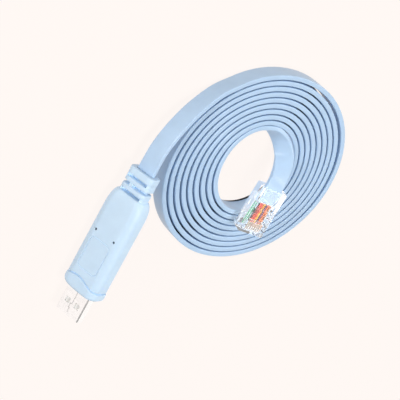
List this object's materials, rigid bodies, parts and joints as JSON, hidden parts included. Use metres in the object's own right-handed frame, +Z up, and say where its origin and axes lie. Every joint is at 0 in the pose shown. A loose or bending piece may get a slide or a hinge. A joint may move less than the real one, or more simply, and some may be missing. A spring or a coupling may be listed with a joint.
{
  "type": "rj45 console cable",
  "caption": "Flat ribbon console cable in a neat coil, with a USB plug in a moulded housing at one end and a clear modular plug at the other.",
  "frame": {"origin": "on the floor below the middle of the USB plug with its housing and strain relief", "axes": "+X along the USB plug from its tip to its cable, +Z up; the label side of the housing faces +Y and a little up"},
  "size_m": [0.1245, 0.102, 0.0188],
  "materials": {
    "housing_plastic": "light blue soft moulding, satin",
    "cable_jacket": "light blue soft jacket, satin",
    "plug_steel": "bright plated steel",
    "insulator": "white moulded insulator",
    "contact_gold": "gold plated",
    "clear_plastic": "clear moulded plastic",
    "wire_tan": "insulated wire",
    "wire_orange": "insulated wire",
    "wire_violet": "insulated wire",
    "wire_yellow": "insulated wire",
    "wire_vermilion": "insulated wire",
    "wire_red": "insulated wire",
    "wire_black": "insulated wire",
    "wire_green": "insulated wire"
  },
  "bodies": {
    "root": {"usb_shell": "plug_steel", "usb_tongue": "insulator", "usb_contact_1": "contact_gold", "usb_contact_2": "contact_gold", "usb_contact_3": "contact_gold", "usb_contact_4": "contact_gold", "plug_housing": "housing_plastic", "cable_coil": "cable_jacket", "cable_tail": "cable_jacket", "cable_lead": "cable_jacket", "rj45_body": "clear_plastic", "wire_1": "wire_tan", "wire_2": "wire_orange", "wire_3": "wire_violet", "wire_4": "wire_yellow", "wire_5": "wire_vermilion", "wire_6": "wire_red", "wire_7": "wire_black", "wire_8": "wire_green", "rj45_contact_1": "contact_gold", "rj45_contact_2": "contact_gold", "rj45_contact_3": "contact_gold", "rj45_contact_4": "contact_gold", "rj45_contact_5": "contact_gold", "rj45_contact_6": "contact_gold", "rj45_contact_7": "contact_gold", "rj45_contact_8": "contact_gold"}
  },
  "joints": []
}
